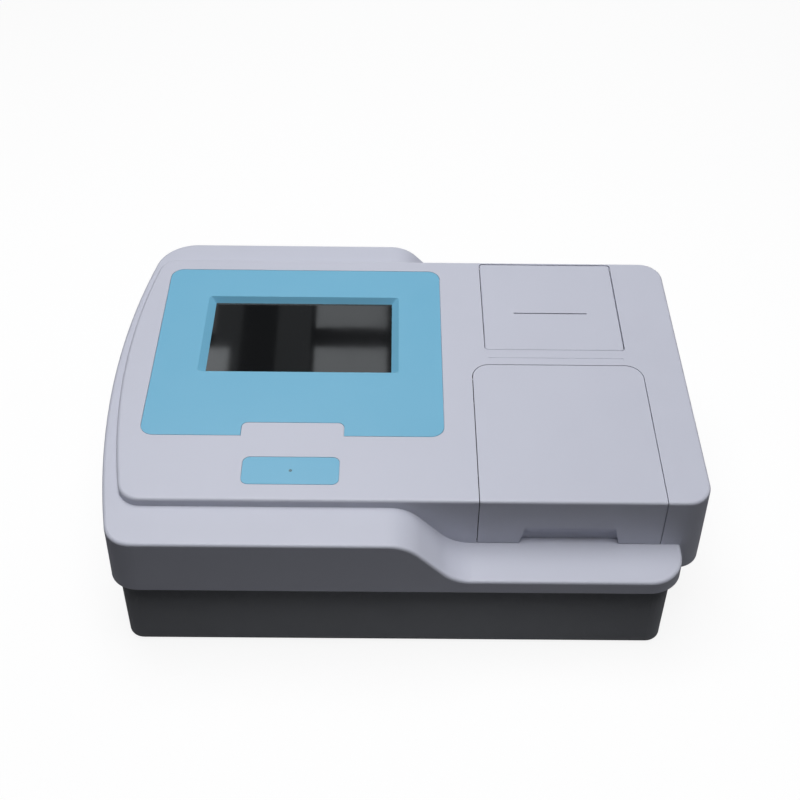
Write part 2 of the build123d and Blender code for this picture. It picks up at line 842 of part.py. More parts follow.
def build_plate_carriage():
    y0, y1 = carriage_y0(), carriage_y0() + carriage_length
    z0 = carriage_bottom()
    top = z0 + carriage_floor + nest_depth
    tray = block(door_x - carriage_width / 2, door_x + carriage_width / 2, y0, y1, z0, top)
    tray = fillet(tray.edges().filter_by(Axis.Z), 5)
    nest_x, nest_y = plate_width / 2 + plate_clearance, plate_length / 2 + plate_clearance
    middle = (y0 + y1) / 2
    nest = block(
        door_x - nest_x, door_x + nest_x, middle - nest_y, middle + nest_y, z0 + carriage_floor, top + 1
    )
    tray -= nest
    window = block(
        door_x - nest_x + 6, door_x + nest_x - 6, middle - nest_y + 6, middle + nest_y - 6,
        z0 - 1, top + 1,
    )
    tray -= fillet(window.edges().filter_by(Axis.Z), 3)
    for side in (-1, 1):
        tray -= rod_z(
            z0 + carriage_floor, top + 1, door_x + side * (nest_x + 4), middle, 26
        )
    x_pusher, y_pusher = pusher_place()
    tray -= block(
        x_pusher - pusher_length / 2 - pusher_travel - 0.3, x_pusher + pusher_length / 2 + 6,
        y_pusher - pusher_width / 2 - 0.3, y_pusher + pusher_width / 2 + 0.3, z0 + carriage_floor, top + 1,
    )
    for side in (-1, 1):
        x = door_x + side * rail_spacing / 2
        for y in lug_ys():
            lug = rod_y(y - 7, y + 7, x, rail_z(), lug_diameter())
            lug += block(x - 4, x + 4, y - 7, y + 7, rail_z(), z0 + 1)
            tray += lug
            tray -= rod_y(y - 8, y + 8, x, rail_z(), rail_diameter + 2 * bush_wall)
    x_run = door_x + belt_x - pulley_radius() - belt_thickness / 2
    y_clamp = middle
    clamp = block(
        x_run - 3.5, x_run + 3.5, y_clamp - 8, y_clamp + 8, belt_z() - belt_width / 2 - 1, z0 + 1
    )
    slot = block(
        x_run - belt_thickness / 2 - 0.35, x_run + belt_thickness / 2 + 0.35, y_clamp - 9, y_clamp + 9,
        belt_z() - belt_width / 2 - 2, belt_z() + belt_width / 2 + 0.4,
    )
    x_flag, y_flag = sensor_place()
    flag = block(
        x_flag - 0.6, x_flag + 0.6, y_flag - 4, y_flag + 4, chassis_top + 4, carriage_bottom() + 1
    )
    return tray + (clamp - slot) + flag


def build_carriage_bushes():
    bushes = Part()
    for side in (-1, 1):
        for y in lug_ys():
            x = door_x + side * rail_spacing / 2
            ring = rod_y(y - 7, y + 7, x, rail_z(), rail_diameter + 2 * bush_wall)
            bushes += ring - rod_y(y - 8, y + 8, x, rail_z(), rail_diameter + 2 * shaft_clearance)
    return bushes


def pusher_place():
    """Centre of the spring-loaded plate pusher in the carriage's left border."""
    middle = carriage_y0() + carriage_length / 2
    nest_edge = door_x - plate_width / 2 - plate_clearance
    return nest_edge - pusher_length / 2 + 1.2, middle + 38


def build_plate_pusher():
    x, y = pusher_place()
    z0 = carriage_bottom() + carriage_floor + 0.2
    z1 = carriage_bottom() + carriage_floor + nest_depth - 1
    body = block(
        x - pusher_length / 2 + 4, x + pusher_length / 2, y - pusher_width / 2, y + pusher_width / 2, z0, z1
    )
    nose = body.edges().filter_by(Axis.Z).sort_by(Axis.X)[-2:]
    return fillet(nose, 1.5)


def build_guide_rails():
    rails = Part()
    for side in (-1, 1):
        rails += rod_y(
            chamber_front() + chamber_wall, chamber_back() - chamber_wall,
            door_x + side * rail_spacing / 2, rail_z(), rail_diameter,
        )
    return rails


def pulley_radius():
    return pulley_teeth * belt_pitch / (2 * math.pi)


def belt_z():
    return chassis_top + 6.5


def motor_x():
    return door_x + belt_x


def motor_y():
    return chamber_back() - motor_size / 2 - motor_back_room


def idler_y():
    return chamber_front() + chamber_wall + pulley_radius() + 5


def build_pulley(x, y, bore):
    half = belt_width / 2 + 0.3
    pulley = rod_z(belt_z() - half, belt_z() + half, x, y, 2 * pulley_radius() - 0.6)
    for z in (belt_z() - half, belt_z() + half):
        side = -1 if z < belt_z() else 1
        z0, z1 = min(z, z + side * 1.2), max(z, z + side * 1.2)
        pulley += rod_z(z0, z1, x, y, 2 * pulley_radius() + 2 * belt_thickness + 1)
    return pulley - rod_z(chassis_top - 20, belt_z() + 20, x, y, bore)


def build_motor_pulley():
    return build_pulley(motor_x(), motor_y(), 5 + 2 * shaft_clearance)


def build_idler_pulley():
    return build_pulley(motor_x(), idler_y(), 5 + 2 * shaft_clearance)


def build_idler_pin():
    pin = rod_z(chassis_top, belt_z() + belt_width / 2 + 2, motor_x(), idler_y(), 5)
    return pin + rod_z(chassis_top, belt_z() - belt_width / 2 - 1.8, motor_x(), idler_y(), 9)


def build_drive_belt():
    centre_y, span = (motor_y() + idler_y()) / 2, motor_y() - idler_y()
    inner = SlotCenterToCenter(span, 2 * pulley_radius(), rotation=90)
    outer = SlotCenterToCenter(span, 2 * (pulley_radius() + belt_thickness), rotation=90)
    band = extrude(outer - inner, amount=belt_width)
    return Pos(motor_x(), centre_y, belt_z() - belt_width / 2) * band


def build_carriage_motor():
    """Square stepper under the chassis plate, its shaft through to the pulley."""
    outline = chamfer(Rectangle(motor_size, motor_size).vertices(), 3.5)
    motor = extrude(Pos(motor_x(), motor_y(), cover_bottom - motor_length) * outline, amount=motor_length)
    shaft = rod_z(cover_bottom - 1, belt_z() + belt_width / 2 + 2, motor_x(), motor_y(), 5)
    return motor + shaft


def sensor_place():
    """Slotted sensor that sees the carriage's flag in the home position."""
    return door_x - rail_spacing / 2 - 12, carriage_y0() + carriage_length - 40


def build_home_sensor():
    x, y = sensor_place()
    body = block(x - 4, x + 4, y - 6, y + 6, chassis_top, carriage_bottom() - 1)
    return body - block(x - 1.3, x + 1.3, y - 7, y + 7, chassis_top + 3, carriage_bottom())


# ---------------------------------------------------------------- optics
def bridge_y():
    return deck_y(door_length) + 5.5, deck_y(lid_near) - 2.0


def bridge_bottom():
    return chassis_top + chamber_ceiling


def build_optical_bridge():
    y0, y1 = bridge_y()
    half = chamber_half_width + chamber_wall
    z0 = bridge_bottom()
    bar = block(door_x - half, door_x + half, y0, y1, z0, z0 + 10)
    row = (lens_count - 1) * lens_pitch / 2
    bar += block(door_x - row - 8, door_x + row + 8, y0, y1, z0 + 9.9, z0 + 24)
    for i in range(lens_count):
        x = door_x - row + i * lens_pitch
        bar -= rod_z(z0 - 1, z0 + 30, x, (y0 + y1) / 2, lens_diameter - 1)
        bar -= rod_z(z0 - 1, z0 + 3, x, (y0 + y1) / 2, lens_diameter)
    return bar


def build_lens_row():
    y0, y1 = bridge_y()
    row = (lens_count - 1) * lens_pitch / 2
    lenses = Part()
    for i in range(lens_count):
        x = door_x - row + i * lens_pitch
        z = bridge_bottom() + 3
        lens = rod_z(z - 2.4, z, x, (y0 + y1) / 2, lens_diameter - 0.1)
        lenses += lens
    return lenses


def build_detector_board():
    y0, y1 = bridge_y()
    row = (lens_count - 1) * lens_pitch / 2
    z0 = bridge_bottom() + 24
    board = block(door_x - row - 12, door_x + row + 12, y0, y1, z0, z0 + 1.6)
    board += block(door_x + row - 10, door_x + row, y0 + 2, y1 - 2, z0 + 1.5, z0 + 6)
    return board


def fibre_diameter():
    return 10.0


def read_line():
    """Y of the optical read line, under the middle of the bridge."""
    return sum(bridge_y()) / 2


def build_light_block():
    row = (lens_count - 1) * lens_pitch / 2
    top = carriage_bottom() - 0.8
    body = block(door_x - row - 2.5, door_x + row + 2.5, read_line() - 6, read_line() + 6, chassis_top, top)
    for i in range(lens_count):
        x = door_x - row + i * lens_pitch
        body -= rod_z(top - 2, top + 1, x, read_line(), 3)
    return body


def build_fibre_bundle():
    start = (wheel_x + wheel_thickness / 2 + 3, read_line(), lamp_axis_height)
    corner = (door_x, read_line(), lamp_axis_height)
    end = (door_x, read_line(), chassis_top)
    path = FilletPolyline(start, corner, end, radius=14)
    section = Plane(origin=start, z_dir=(1, 0, 0)) * Circle(fibre_diameter() / 2)
    return sweep(section, path=path)


def filter_ring():
    """Radius of the circle that the filters stand on."""
    return (wheel_diameter - filter_diameter) / 2 - filter_rim


def wheel_y():
    """Wheel axis: the filter in use stands on the lamp axis beside it."""
    return read_line() - filter_ring()


def lamp_wall_x():
    return wheel_x - wheel_thickness / 2 - 6


def clamp_x():
    return wheel_x + wheel_thickness / 2 + 6


def build_lamp_housing():
    """Floor, lamp house with cooling fins, and the wall that clamps fibre and wheel motor."""
    y, z = read_line(), lamp_axis_height
    x_wall, x_clamp = lamp_wall_x(), clamp_x()
    low = wheel_y() - 14
    half, rise = lamp_house_width / 2, lamp_house_height / 2
    x_far = x_wall - lamp_house_length - 2 * lamp_wall
    side = y + half + fin_length
    floor = block(x_far, x_clamp + 6, low, side, base_floor, base_floor + 3)
    wall = block(x_wall - 4, x_wall, y - half, side, base_floor, z + rise)
    house = block(x_far, x_wall - 3.9, y - half, y + half, z - rise, z + rise)
    house -= block(
        x_far + lamp_wall, x_wall - 2 * lamp_wall, y - half + lamp_wall, y + half - lamp_wall,
        z - rise + lamp_wall, z + rise + 1,
    )
    stand = block(x_far, x_far + 4, y - half, y + half, base_floor, z - rise + 0.1)
    fins = Part()
    pitch = (lamp_house_length - lamp_wall) / (fin_count - 1)
    for i in range(fin_count):
        x = x_far + 2 + i * pitch
        fins += block(x, x + lamp_wall, y + half - 0.1, side, z - rise, z + rise)
    clamp = block(x_clamp, x_clamp + 6, low, y + 10, base_floor, z + 12)
    clamp -= rod_x(x_clamp - 1, x_clamp + 7, y, z, fibre_diameter() + 0.02)
    clamp -= rod_x(x_clamp - 1, x_clamp + 7, wheel_y(), z, 7)
    wheel_space = rod_x(
        wheel_x - wheel_thickness / 2 - 4, wheel_x + wheel_thickness / 2 + 4, wheel_y(), z,
        wheel_diameter + 3,
    )
    body = floor + wall + house + stand + fins + clamp
    body -= rod_x(x_wall - 10, x_wall + 10, y, z, filter_diameter)
    return body - wheel_space


def build_halogen_lamp():
    x = lamp_wall_x() - 32
    base = rod_x(x - 15, x - 4, read_line(), lamp_axis_height, 9.5)
    bulb = rod_x(x - 5, x + 4, read_line(), lamp_axis_height, 8)
    tip = Pos(x + 4, read_line(), lamp_axis_height) * Sphere(4)
    return base + bulb + tip


def build_condenser_lens():
    """Lens in its holder, standing on the floor of the lamp house."""
    x, y, z = lamp_wall_x() - 12, read_line(), lamp_axis_height
    half, rise = lamp_house_width / 2 - lamp_wall - 0.2, lamp_house_height / 2
    holder = block(x, x + 4, y - half, y + half, z - rise + lamp_wall, z + rise - 2)
    return holder - rod_x(x - 1, x + 5, y, z, 18) + rod_x(x + 0.5, x + 3.5, y, z, 18.2)


def build_filter_wheel():
    wheel = rod_x(-wheel_thickness / 2, wheel_thickness / 2, 0, 0, wheel_diameter)
    for i in range(filter_count):
        angle = 2 * math.pi * i / filter_count
        y, z = filter_ring() * math.cos(angle), filter_ring() * math.sin(angle)
        wheel -= rod_x(-wheel_thickness, wheel_thickness, y, z, filter_diameter)
    wheel += rod_x(-wheel_thickness / 2 - 3, 0, 0, 0, 12)
    wheel -= rod_x(-20, 20, 0, 0, 5 + 2 * shaft_clearance)
    return Pos(wheel_x, wheel_y(), lamp_axis_height) * wheel


def build_filter_glasses():
    glasses = Part()
    for i in range(filter_count):
        angle = 2 * math.pi * i / filter_count
        y = wheel_y() + filter_ring() * math.cos(angle)
        z = lamp_axis_height + filter_ring() * math.sin(angle)
        glasses += rod_x(wheel_x - 1.25, wheel_x + 1.25, y, z, filter_diameter)
    return glasses


def build_filter_motor():
    x, y, z, half = clamp_x() + 6, wheel_y(), lamp_axis_height, 10
    body = block(x, x + 18, y - half, y + half, z - half, z + half)
    body = chamfer(body.edges().filter_by(Axis.X), 2.5)
    return body + rod_x(wheel_x - wheel_thickness / 2 - 4, x + 1, y, z, 5)


# ---------------------------------------------------------------- electronics
def psu_footprint():
    return psu_left, psu_left + psu_width, psu_near, psu_near + psu_length


def board_footprint():
    return board_left, board_left + board_width, board_near, board_near + board_length


def build_power_supply():
    x0, x1, y0, y1 = psu_footprint()
    z0 = base_floor + post_height
    z1, sheet = z0 + psu_height, 1.5
    case = block(x0, x1, y0, y1, z0, z1)
    case -= block(x0 + sheet, x1 - sheet, y0 + 12, y1 - sheet, z0 + 4, z1 - sheet)
    slots = 8
    pitch = (y1 - y0) * 0.75 / slots
    for i in range(slots):
        y = y0 + 0.2 * psu_length + i * pitch
        case -= block(x0 + 15, x1 - 15, y, y + 4, z1 - 8, z1 + 1)
    return case


def build_main_board():
    x0, x1, y0, y1 = board_footprint()
    z0 = base_floor + post_height
    board = block(x0, x1, y0, y1, z0, z0 + board_thickness)
    top = z0 + board_thickness - 0.1
    for share_x, share_y, size, height in ((0.4, 0.5, 28, 3), (0.64, 0.5, 16, 2.5)):
        x, y = x0 + share_x * board_width, y0 + share_y * board_length
        board += block(x - size / 2, x + size / 2, y - size / 2, y + size / 2, top, top + height)
    sockets, capacitors = 5, 4
    for i in range(sockets):
        x = x0 + board_width * (i + 0.7) / (sockets + 0.4)
        board += block(x - 10, x + 10, y1 - 9, y1 - 2, top, top + 9)
    for i in range(capacitors):
        board += rod_z(top, top + 12, x0 + 20 + i * 16, y0 + 14, 10)
    return board


# ---------------------------------------------------------------- rear panel
def panel_y():
    """Outer face of the recessed rear panel."""
    return base_back_y() - 6 + rear_thickness


def build_rear_panel():
    y1 = panel_y()
    panel = block(
        rear_left + 0.3, rear_right - 0.3, y1 - rear_thickness, y1, rear_low + 0.3, rear_high - 0.3
    )
    z = (rear_low + rear_high) / 2
    panel -= block(inlet_x - 14, inlet_x + 14, y1 - 5, y1 + 5, z - 10, z + 10)
    panel -= block(rocker_x - 6.5, rocker_x + 6.5, y1 - 5, y1 + 5, z - 10.5, z + 10.5)
    for i in range(7):
        dz = (i - 3) * 5
        half = math.sqrt((fan_size / 2 - 2) ** 2 - dz ** 2)
        panel -= block(fan_x - half, fan_x + half, y1 - 5, y1 + 5, z + dz - 1.5, z + dz + 1.5)
    for dx, w, h in port_list():
        panel -= block(
            ports_x + dx - w / 2 - seat_clearance, ports_x + dx + w / 2 + seat_clearance,
            y1 - 5, y1 + 5, z - h / 2 - seat_clearance, z + h / 2 + seat_clearance,
        )
    return panel


def port_list():
    """Offset, width and height of each data port."""
    return [(0, 13.1, 5.7), (18, 13.1, 5.7), (48, 30.8, 12.5)]


def build_data_ports():
    y1 = panel_y()
    z = (rear_low + rear_high) / 2
    ports = Part()
    for dx, w, h in port_list():
        x = ports_x + dx
        shell = block(x - w / 2, x + w / 2, y1 - 14, y1 + 1, z - h / 2, z + h / 2)
        shell -= block(x - w / 2 + 0.8, x + w / 2 - 0.8, y1 - 9, y1 + 2, z - h / 2 + 0.8, z + h / 2 - 0.8)
        if h < 8:
            shell += block(x - w / 2 + 2, x + w / 2 - 2, y1 - 9.1, y1 - 1, z - 0.9, z + 0.9)
        ports += shell
    x0, x1 = ports_x - 10, ports_x + 68
    board = block(x0, x1, y1 - rear_thickness - 1.6, y1 - rear_thickness, z - 14, z + 14)
    for dx, w, h in port_list():
        x = ports_x + dx
        board -= block(x - w / 2 + 1, x + w / 2 - 1, y1 - 9, y1 + 2, z - h / 2 + 1, z + h / 2 - 1)
    return ports + board


def build_mains_inlet():
    y1 = panel_y()
    z = (rear_low + rear_high) / 2
    flange = block(inlet_x - 25, inlet_x + 25, y1, y1 + 2, z - 12.5, z + 12.5)
    flange = fillet(flange.edges().filter_by(Axis.Y), 2.5)
    body = block(inlet_x - 13.8, inlet_x + 13.8, y1 - 22, y1 + 0.1, z - 9.8, z + 9.8)
    socket_face = Plane.XZ * chamfer(
        Rectangle(24.4, 16.4).vertices().sort_by(Axis.Y)[-2:], 4.5
    )
    socket = Pos(inlet_x, y1 + 3, z) * extrude(socket_face, amount=17)
    inlet = flange + body - socket
    for dx, dz in ((-7, -2), (0, 2), (7, -2)):
        inlet += block(
            inlet_x + dx - 1, inlet_x + dx + 1, y1 - 15, y1 - 4, z + dz - 2, z + dz + 2
        )
    for side in (-1, 1):
        inlet -= rod_y(y1 - 5, y1 + 5, inlet_x + side * 20, z, 3.4)
    return inlet


def build_switch_frame():
    y1 = panel_y()
    z = (rear_low + rear_high) / 2
    frame = block(rocker_x - 8.5, rocker_x + 8.5, y1, y1 + 2, z - 12.5, z + 12.5)
    frame = fillet(frame.edges().filter_by(Axis.Y), 1.5)
    frame += block(rocker_x - 6.4, rocker_x + 6.4, y1 - 16, y1 + 0.1, z - 10.4, z + 10.4)
    frame -= block(rocker_x - 5.2, rocker_x + 5.2, y1 - 11, y1 + 3, z - 9.2, z + 9.2)
    pivot_y = y1 - 4
    frame += rod_x(rocker_x - 5.3, rocker_x + 5.3, pivot_y, z, 2)
    return frame


def build_power_rocker():
    y1 = panel_y()
    z = (rear_low + rear_high) / 2
    pivot_y = y1 - 4
    profile = make_face(Plane.YZ * Polyline(
        (pivot_y - 3, z - 3), (pivot_y + 5.0, z - 7.6), (pivot_y + 7.2, z - 6.8),
        (pivot_y + 5.0, z), (pivot_y + 5.0, z + 7.6), (pivot_y + 3.0, z + 7.6), (pivot_y - 3, z + 3),
        close=True,
    ))
    rocker = Pos(rocker_x, 0, 0) * extrude(profile, amount=4.7, both=True)
    return rocker - rod_x(rocker_x - 9, rocker_x + 9, pivot_y, z, 2 + 2 * shaft_clearance)


def fan_y1():
    return panel_y() - rear_thickness


def build_fan_frame():
    y1 = fan_y1()
    z = (rear_low + rear_high) / 2
    half = fan_size / 2
    frame = block(fan_x - half, fan_x + half, y1 - fan_depth, y1, z - half, z + half)
    frame = fillet(frame.edges().filter_by(Axis.Y), 3)
    frame -= rod_y(y1 - fan_depth - 1, y1 + 1, fan_x, z, fan_size - 2.5)
    frame += rod_y(y1 - fan_depth, y1 - fan_depth + 2, fan_x, z, 17)
    for angle in (45, 135):
        strut = Box(fan_size, 2, 2)
        frame += Pos(fan_x, y1 - fan_depth + 1, z) * Rot(0, angle, 0) * strut
    return frame + rod_y(y1 - fan_depth, y1 - 2.5, fan_x, z, 2)


def build_fan_rotor():
    y1 = fan_y1()
    z = (rear_low + rear_high) / 2
    rotor = rod_y(y1 - fan_depth + 2.6, y1 - 1.5, fan_x, z, 18)
    blade = Pos(0, 0, 13) * Rot(0, 0, 38) * Box(1.2, 8, 9)
    keep = rod_y(y1 - fan_depth + 2.6, y1 - 0.8, fan_x, z, fan_size - 4)
    for i in range(7):
        rotor += (Pos(fan_x, y1 - fan_depth / 2 + 1, z) * Rot(0, 360 * i / 7, 0) * blade) & keep
    return rotor - rod_y(y1 - fan_depth, y1 - 2.3, fan_x, z, 2 + 2 * shaft_clearance)


# ---------------------------------------------------------------- printer
def bay_y():
    return deck_y(lid_near) + 3.5, lid_hinge_point().Y - lid_hinge_depth - 4.5


def bay_floor():
    return chassis_top + chamber_ceiling + 2.5


def build_paper_bay():
    y0, y1 = bay_y()
    half = lid_width / 2 - 3.5
    wall = 2.0
    tub = block(
        door_x - half - wall, door_x + half + wall, y0 - wall, y1 + wall, bay_floor() - wall,
        deck_front_height + body_depth,
    )
    tub &= below_deck(cover_wall)
    tub -= block(door_x - half, door_x + half, y0, y1, bay_floor(), deck_front_height + body_depth)
    floor = block(
        door_x - chamber_half_width - chamber_wall, door_x + chamber_half_width + chamber_wall,
        y0 - wall, chamber_back(), chassis_top + chamber_ceiling, bay_floor() - 0.01,
    )
    return tub + floor


def platen_y():
    return deck_y(slit_v) + platen_diameter / 2 + 0.8


def platen_z():
    return bay_floor() + 27


def cheek_x():
    """Inner faces of the printer cheeks."""
    half = roll_width / 2 + 1.5
    return door_x - half, door_x + half


def build_printer_frame():
    x0, x1 = cheek_x()
    y, z = platen_y(), platen_z()
    frame = Part()
    profile = make_face(Plane.YZ * Polyline(
        (y - 8, bay_floor()), (y + 20, bay_floor()), (y + 20, z - 6), (y + 9, z + 4),
        (y + 5, z + 6.5), (y - 5, z + 6.5), (y - 8, z), close=True,
    ))
    for side, x in ((-1, x0 - 2), (1, x1)):
        frame += Pos(x, 0, 0) * extrude(profile, amount=2)
    frame += block(x0 - 2, x1 + 2, y + 8, y + 20, bay_floor(), bay_floor() + 2)
    frame -= rod_x(x0 - 5, x1 + 5, y, z, 4 + 2 * shaft_clearance)
    pinion_y, pinion_z = gear_centres()[2]
    frame -= rod_x(x1 - 1, x1 + 5, pinion_y, pinion_z, 3)
    return frame


def build_print_head():
    x0, x1 = cheek_x()
    y, z = platen_y(), platen_z()
    face_y = y - platen_diameter / 2 - 0.3
    head = block(x0 + 0.3, x1 - 0.3, face_y - 1.2, face_y, z - 12, z + 4)
    head += block(x0, x1, face_y - 2.6, face_y - 1.1, z - 16, z + 1)
    return head


def build_platen_roller():
    x0, x1 = cheek_x()
    roller = rod_x(x0 + 0.5, x1 - 0.5, platen_y(), platen_z(), platen_diameter)
    roller += rod_x(x0 - 2.5, x1 + 9, platen_y(), platen_z(), 4)
    return roller


def gear_x():
    return cheek_x()[1] + 2 + 1.0 + gear_width / 2


def gear_distance(a, b):
    return gear_module * (a + b) / 2 + gear_backlash


def gear_centres():
    """Platen, idler and pinion centres in the gear plane."""
    y0, z0 = platen_y(), platen_z()
    first = gear_distance(platen_teeth, idler_teeth)
    second = gear_distance(idler_teeth, pinion_teeth)
    angle = math.radians(-62)
    y1, z1 = y0 + first * math.cos(angle) * 0.45, 0
    z1 = z0 - math.sqrt(first ** 2 - (y1 - y0) ** 2)
    y2 = y1 + second * 0.93
    z2 = z1 + math.sqrt(second ** 2 - (y2 - y1) ** 2)
    return (y0, z0), (y1, z1), (y2, z2)


def mesh_angle(here, there):
    """Direction from one gear centre to the next, in degrees about +X from +Y."""
    return math.degrees(math.atan2(there[1] - here[1], there[0] - here[0]))


def placed_gear(teeth, centre, bore, phase):
    gear = Plane.YZ * (Rot(0, 0, phase) * spur_gear(teeth, gear_width, bore))
    return Pos(gear_x(), centre[0], centre[1]) * gear


def gear_phases():
    """Turn of each gear so that a tooth of one faces a gap of the next."""
    platen, idler, pinion = gear_centres()
    toward_idler = mesh_angle(platen, idler)
    platen_phase = toward_idler
    idler_phase = toward_idler + 180 + 180 / idler_teeth
    toward_pinion = mesh_angle(idler, pinion)
    step = 360 / idler_teeth
    lag = (toward_pinion - idler_phase) % step
    pinion_phase = toward_pinion + 180 + 180 / pinion_teeth + lag * idler_teeth / pinion_teeth
    return platen_phase, idler_phase, pinion_phase


def build_platen_gear():
    return placed_gear(platen_teeth, gear_centres()[0], 4, gear_phases()[0])


def build_idler_gear():
    return placed_gear(idler_teeth, gear_centres()[1], 3 + 2 * shaft_clearance, gear_phases()[1])


def build_motor_pinion():
    return placed_gear(pinion_teeth, gear_centres()[2], 2 + 2 * shaft_clearance, gear_phases()[2])


def build_gear_post():
    y, z = gear_centres()[1]
    x1 = cheek_x()[1] + 2
    return rod_x(x1, gear_x() + gear_width / 2 + 1, y, z, 3)


def build_printer_motor():
    y, z = gear_centres()[2]
    x1 = cheek_x()[1]
    body = rod_x(x1 - 14, x1, y, z, 15)
    shaft = rod_x(x1 - 1, gear_x() + gear_width / 2 + 1, y, z, 2)
    return body + shaft


def roll_y():
    return bay_y()[0] + roll_diameter / 2 + 1.5


def roll_z():
    return bay_floor() + roll_diameter / 2 + 2


def build_paper_roll():
    roll = rod_x(door_x - roll_width / 2, door_x + roll_width / 2, roll_y(), roll_z(), roll_diameter)
    return roll - rod_x(door_x - roll_width, door_x + roll_width, roll_y(), roll_z(), 12)


def build_roll_spindle():
    half = lid_width / 2 - 3.5
    spindle = rod_x(door_x - half, door_x + half, roll_y(), roll_z(), 11.4)
    return spindle


# ---------------------------------------------------------------- output
def build_all():
    cover, outer = build_top_cover()
    door_pins = hinge_pins(door_hinge_point(), door_width, door_gap)
    lid_pins = hinge_pins(lid_hinge_point(), lid_width, lid_gap)
    return {
        "top_cover": cover,
        "base_tray": build_base_tray(),
        "chassis_plate": build_chassis_plate(),
        "rubber_feet": build_rubber_feet(),
        "cover_screws": build_cover_screws(),
        "screen_bezel": build_screen_bezel(),
        "touch_panel": build_touch_panel(),
        "lcd_module": build_lcd_module(),
        "screen_bracket": build_screen_bracket(),
        "status_plate": build_status_plate(),
        "status_led": build_status_led(),
        "plate_door": build_plate_door(outer),
        "door_hinge_pins": door_pins,
        "printer_lid": build_printer_lid(),
        "lid_hinge_pins": lid_pins,
        "chamber_housing": build_chamber_housing(),
        "plate_carriage": build_plate_carriage(),
        "carriage_bushes": build_carriage_bushes(),
        "plate_pusher": build_plate_pusher(),
        "guide_rails": build_guide_rails(),
        "motor_pulley": build_motor_pulley(),
        "idler_pulley": build_idler_pulley(),
        "idler_pin": build_idler_pin(),
        "drive_belt": build_drive_belt(),
        "carriage_motor": build_carriage_motor(),
        "home_sensor": build_home_sensor(),
        "optical_bridge": build_optical_bridge(),
        "lens_row": build_lens_row(),
        "detector_board": build_detector_board(),
        "light_block": build_light_block(),
        "fibre_bundle": build_fibre_bundle(),
        "lamp_housing": build_lamp_housing(),
        "halogen_lamp": build_halogen_lamp(),
        "condenser_lens": build_condenser_lens(),
        "filter_wheel": build_filter_wheel(),
        "filter_glasses": build_filter_glasses(),
        "filter_motor": build_filter_motor(),
        "power_supply": build_power_supply(),
        "main_board": build_main_board(),
        "rear_panel": build_rear_panel(),
        "data_ports": build_data_ports(),
        "mains_inlet": build_mains_inlet(),
        "switch_frame": build_switch_frame(),
        "power_rocker": build_power_rocker(),
        "fan_frame": build_fan_frame(),
        "fan_rotor": build_fan_rotor(),
        "paper_bay": build_paper_bay(),
        "printer_frame": build_printer_frame(),
        "print_head": build_print_head(),
        "platen_roller": build_platen_roller(),
        "platen_gear": build_platen_gear(),
        "idler_gear": build_idler_gear(),
        "gear_post": build_gear_post(),
        "motor_pinion": build_motor_pinion(),
        "printer_motor": build_printer_motor(),
        "paper_roll": build_paper_roll(),
        "roll_spindle": build_roll_spindle(),
    }


os.makedirs("parts", exist_ok=True)
for node, shape in build_all().items():
    export_step(shape, f"parts/{node}.step")
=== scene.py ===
"""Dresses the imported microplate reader: materials, fasteners, camera, lights and floor."""

import json
import math

import bmesh
import bpy
from mathutils import Matrix, Vector


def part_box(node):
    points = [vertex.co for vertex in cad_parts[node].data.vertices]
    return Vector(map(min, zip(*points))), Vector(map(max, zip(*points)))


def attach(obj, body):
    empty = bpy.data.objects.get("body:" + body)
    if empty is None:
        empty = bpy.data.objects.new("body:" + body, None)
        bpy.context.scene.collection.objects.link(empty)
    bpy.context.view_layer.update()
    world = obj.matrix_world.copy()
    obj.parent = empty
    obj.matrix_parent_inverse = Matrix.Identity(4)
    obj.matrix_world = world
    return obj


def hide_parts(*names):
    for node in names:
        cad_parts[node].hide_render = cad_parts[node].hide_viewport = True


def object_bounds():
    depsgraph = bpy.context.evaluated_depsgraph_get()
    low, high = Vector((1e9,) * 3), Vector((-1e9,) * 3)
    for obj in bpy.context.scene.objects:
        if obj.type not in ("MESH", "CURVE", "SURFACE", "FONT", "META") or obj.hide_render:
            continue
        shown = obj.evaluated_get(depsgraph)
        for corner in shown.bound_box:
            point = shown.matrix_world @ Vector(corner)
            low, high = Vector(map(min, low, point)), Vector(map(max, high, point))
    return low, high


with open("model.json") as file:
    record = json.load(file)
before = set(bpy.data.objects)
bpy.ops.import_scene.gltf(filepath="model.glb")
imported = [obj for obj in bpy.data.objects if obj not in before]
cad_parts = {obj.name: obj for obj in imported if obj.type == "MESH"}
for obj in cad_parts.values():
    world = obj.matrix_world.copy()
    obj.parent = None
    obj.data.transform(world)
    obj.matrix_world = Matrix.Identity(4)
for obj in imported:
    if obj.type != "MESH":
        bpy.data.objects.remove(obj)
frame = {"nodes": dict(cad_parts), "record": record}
NODES = frame["nodes"]
CAD_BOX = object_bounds()
MM = 0.001
BODY = "reader_body"

# Camera: measured position in millimetres in the part's frame, and the angles it looks along
CAMERA_AT = (-6.5, -759.8, 743.4)
CAMERA_DOWN = 39.68
CAMERA_YAW = 0.536
CAMERA_ROLL = 0.852
LENS = 52.45

# Lamps, in metres and watts: name, place, point it faces, size, power, colour
LAMP_HEIGHT = 1.9
LAMPS = (
    ("overhead", (-0.12, -0.05, LAMP_HEIGHT), (-0.03, 0, 0.1), (1.9, 1.0), 31.0, (0.98, 0.985, 1.0)),
    ("front_key", (-0.55, -1.05, 1.55), (0, -0.1, 0.08), (0.9, 0.5), 0.2, (1, 1, 1)),
    ("fill_right", (1.9, 0.1, 0.8), (0, 0, 0.08), (1.0, 0.6), 4.4, (1, 1, 1)),
    ("fill_left", (-1.9, 0.1, 0.8), (0, 0, 0.08), (1.0, 0.6), 1.6, (1, 1, 1)),
    ("fill_back", (0.3, 2.2, 0.8), (0, 0, 0.08), (1.2, 0.5), 5.0, (1, 1, 1)),
)

